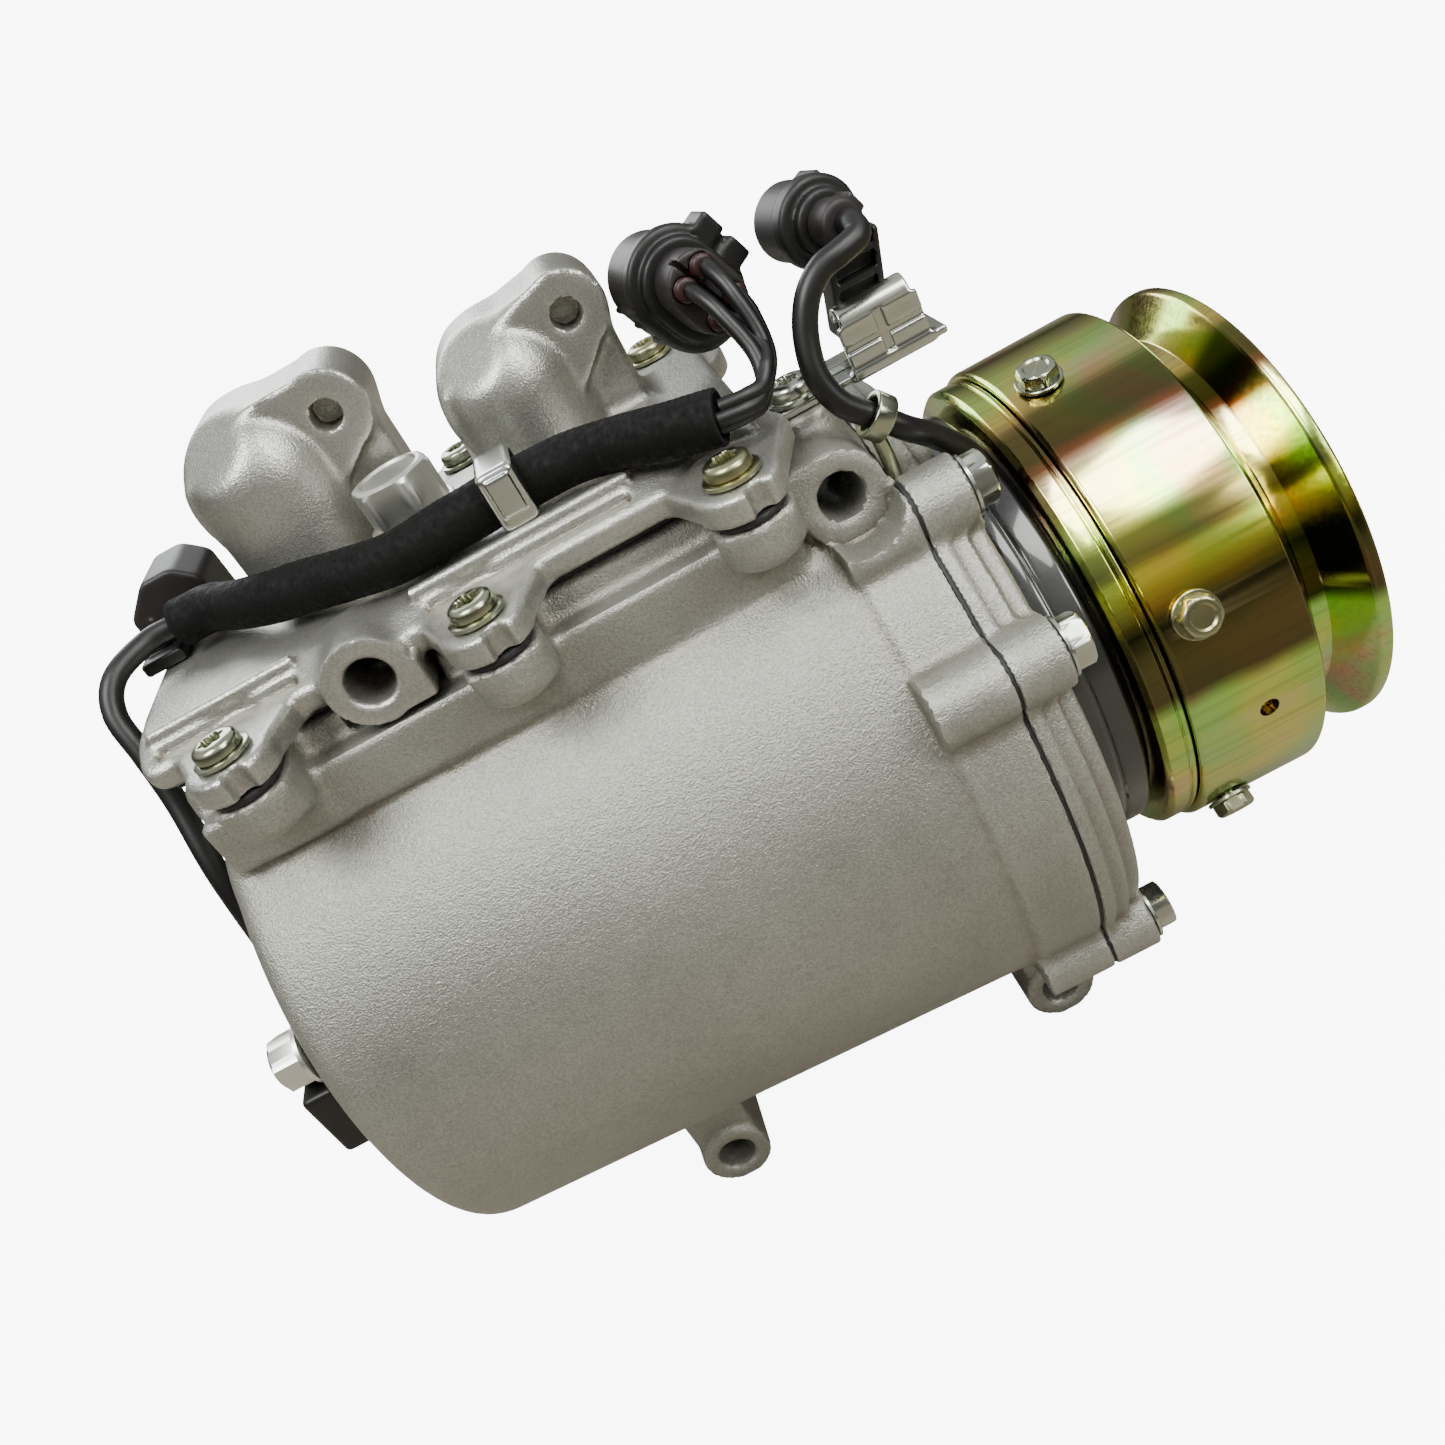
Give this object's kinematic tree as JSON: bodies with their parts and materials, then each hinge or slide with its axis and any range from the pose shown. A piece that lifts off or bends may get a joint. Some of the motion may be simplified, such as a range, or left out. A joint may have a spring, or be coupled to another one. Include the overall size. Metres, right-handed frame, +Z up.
{
  "type": "automotive ac compressor",
  "caption": "Belt-driven scroll refrigerant compressor with electromagnetic clutch, V-groove pulley, top port cover and mounting lugs.",
  "frame": {"origin": "on the shaft axis, in the plane of the two front mounting lugs", "axes": "+X along the shaft towards the pulley, +Z up through the port cover, +Y towards the port faces"},
  "size_m": [0.2465, 0.1492, 0.2264],
  "materials": {
    "cast_aluminium": "sand-blasted as-cast surface, slightly warm",
    "cover_aluminium": "smoother as-cast surface with bright edges",
    "gasket": "black coated gasket",
    "bright_zinc": "bright zinc plating with a faint green cast",
    "yellow_zinc": "turned steel with iridescent yellow zinc chromate",
    "machined_aluminium": "fine machined aluminium alloy",
    "bearing_steel": "ground bearing steel",
    "dark_steel": "phosphated steel",
    "coil_paint": "black painted coil cup with a bright turned band",
    "seal_rubber": "shaft lip seal",
    "woven_sleeve": "black cloth-taped wiring sleeve",
    "grey_plastic": "dark grey-brown moulded connector",
    "black_plastic": "black plastic and cable jacket"
  },
  "bodies": {
    "housing": {"rear_housing": "cast_aluminium", "front_housing": "cast_aluminium", "head_cover": "cover_aluminium", "front_gasket": "gasket", "head_gasket": "gasket", "front_bolt_1": "bright_zinc", "front_bolt_2": "bright_zinc", "front_bolt_3": "bright_zinc", "front_bolt_4": "bright_zinc", "front_bolt_5": "bright_zinc", "front_bolt_6": "bright_zinc", "cover_screw_1": "bright_zinc", "cover_screw_2": "bright_zinc", "cover_screw_3": "bright_zinc", "cover_screw_4": "bright_zinc", "cover_screw_5": "bright_zinc", "cover_screw_6": "bright_zinc", "relief_valve": "bright_zinc", "fixed_scroll": "machined_aluminium", "thrust_plate": "bearing_steel", "reed_valve": "bearing_steel", "valve_retainer": "bearing_steel", "main_bearing": "bearing_steel", "shaft_seal": "seal_rubber", "nose_bearing": "bearing_steel", "clutch_coil": "coil_paint", "coil_snap_ring": "bearing_steel", "harness_sleeve": "woven_sleeve", "sleeve_clip": "bright_zinc", "sensor_connector": "grey_plastic", "rear_cable": "black_plastic", "rear_sensor": "bright_zinc", "rear_sensor_plug": "black_plastic", "harness_plug": "grey_plastic", "plug_lead": "black_plastic", "connector_bracket": "bright_zinc", "bracket_screw": "bright_zinc", "coil_plug": "grey_plastic", "coil_lead": "black_plastic", "lead_clip": "bright_zinc"},
    "shaft": {"drive_shaft": "bearing_steel", "drive_bush": "dark_steel", "clutch_hub": "dark_steel", "hub_nut": "bright_zinc", "leaf_spring_1": "bearing_steel", "leaf_spring_2": "bearing_steel", "leaf_spring_3": "bearing_steel"},
    "armature": {"armature_plate": "dark_steel"},
    "orbiter": {"orbiting_scroll": "machined_aluminium", "orbit_bearing": "bearing_steel"},
    "pulley": {"clutch_rotor": "yellow_zinc", "v_pulley": "yellow_zinc", "pulley_bearing": "bearing_steel", "pulley_bolt_1": "bright_zinc", "pulley_bolt_2": "bright_zinc", "pulley_bolt_3": "bright_zinc", "pulley_bolt_4": "bright_zinc", "pulley_bolt_5": "bright_zinc", "pulley_bolt_6": "bright_zinc"}
  },
  "joints": [
    {"name": "pulley_spin", "type": "hinge", "parent": "housing", "child": "pulley", "pos_m": [0.051, 0, 0], "axis": [1, 0, 0], "continuous": true},
    {"name": "shaft_spin", "type": "hinge", "parent": "housing", "child": "shaft", "pos_m": [0.023, 0, 0], "axis": [1, 0, 0], "continuous": true},
    {"name": "orbit", "type": "hinge", "parent": "shaft", "child": "orbiter", "pos_m": [-0.001, 0, 0.0045], "axis": [1, 0, 0], "continuous": true},
    {"name": "armature_slide", "type": "slide", "parent": "shaft", "child": "armature", "axis": [-1, 0, 0], "range_m": [0, 0.0005], "stiffness_N_per_m": 20000}
  ],
  "couplings": [
    {"joint": "orbit", "follows": "shaft_spin", "ratio": -1}
  ]
}
